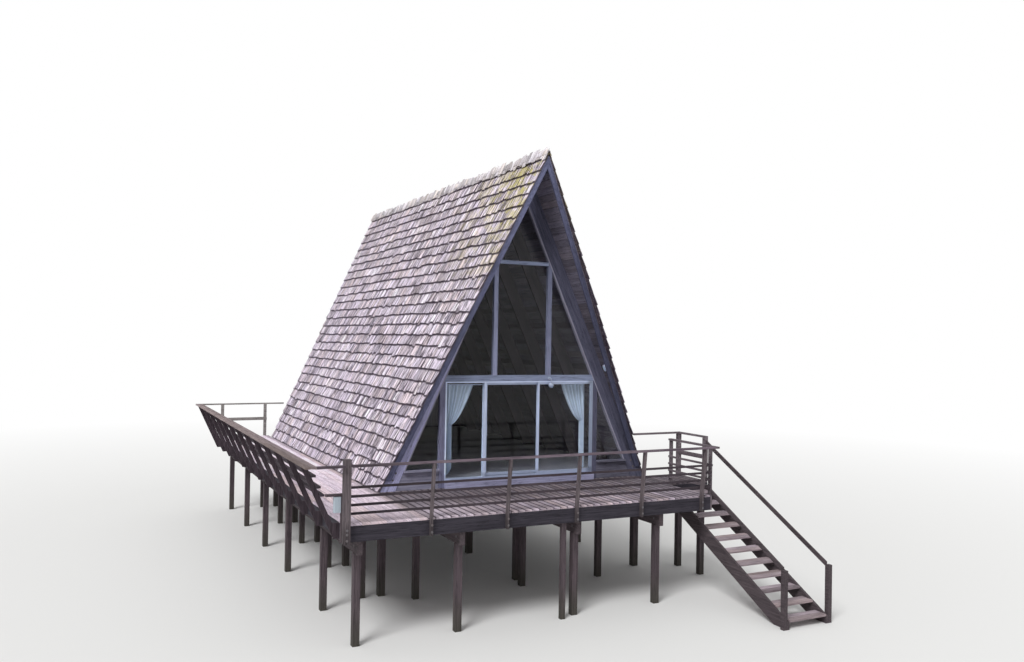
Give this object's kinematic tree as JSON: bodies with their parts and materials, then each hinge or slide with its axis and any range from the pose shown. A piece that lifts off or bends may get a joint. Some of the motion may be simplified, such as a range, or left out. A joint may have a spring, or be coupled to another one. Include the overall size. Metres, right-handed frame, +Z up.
{
  "type": "a-frame cabin",
  "caption": "Steep A-frame cabin on timber posts, with a glazed prow gable, a sliding glass door, a railed deck along the front and one side, and a side stair.",
  "frame": {"origin": "on the ground, at the foot of the middle post, under the centre of the cabin's plan", "axes": "+X to the right along the glazed front gable, +Y from the front gable towards the back, +Z up"},
  "size_m": [9.433, 15.79, 9.1972],
  "materials": {
    "curtain_cloth": "thin white cloth",
    "dark_wood": "dark weathered stain",
    "deck_boards": "weathered boards",
    "glass": "clear window glass",
    "grey_metal": "pale grey paint",
    "grey_painted_wood": "weathered blue-grey paint",
    "interior_floor": "worn painted boards",
    "lamp_glass": "white opal",
    "pale_painted_wood": "weathered pale paint",
    "shakes": "weathered split shakes, silver grey",
    "white_metal": "white powder coat"
  },
  "bodies": {
    "cabin": {"barge_boards": "grey_painted_wood", "base_walls": "grey_painted_wood", "cabin_floor": "interior_floor", "curtain_left": "curtain_cloth", "curtain_right": "curtain_cloth", "curtain_rod": "white_metal", "deck_beams": "dark_wood", "deck_fascia": "dark_wood", "deck_joists": "dark_wood", "deck_posts": "dark_wood", "door_frame": "white_metal", "fixed_door": "white_metal", "fixed_glass": "glass", "floor_joists": "dark_wood", "front_curb": "grey_painted_wood", "front_deck": "deck_boards", "front_rafters": "grey_painted_wood", "front_rail": "dark_wood", "front_rail_posts": "dark_wood", "gable_glass": "glass", "gable_mullions": "pale_painted_wood", "gable_posts": "grey_painted_wood", "gable_transom": "pale_painted_wood", "glazing_trim": "pale_painted_wood", "head_beam": "pale_painted_wood", "house_girders": "dark_wood", "house_posts": "dark_wood", "inner_rafters": "grey_painted_wood", "landing_rail": "dark_wood", "outlet_box": "grey_metal", "outlet_post": "dark_wood", "porch_lights": "lamp_glass", "rear_rail": "dark_wood", "rear_wall": "grey_painted_wood", "ridge_board": "grey_painted_wood", "ridge_cap": "shakes", "right_rail": "dark_wood", "roof_left": "shakes", "roof_right": "shakes", "side_deck": "deck_boards", "side_rail_cap": "dark_wood", "side_rail_posts": "dark_wood", "side_rail_slats": "dark_wood", "stair_rail": "dark_wood", "stair_stringers": "dark_wood", "stair_treads": "deck_boards"},
    "door_leaf": {"sliding_door": "white_metal", "sliding_glass": "glass"}
  },
  "joints": [
    {"name": "door_slide", "type": "slide", "parent": "cabin", "child": "door_leaf", "axis": [1, 0, 0], "range_m": [0, 1.12]}
  ]
}
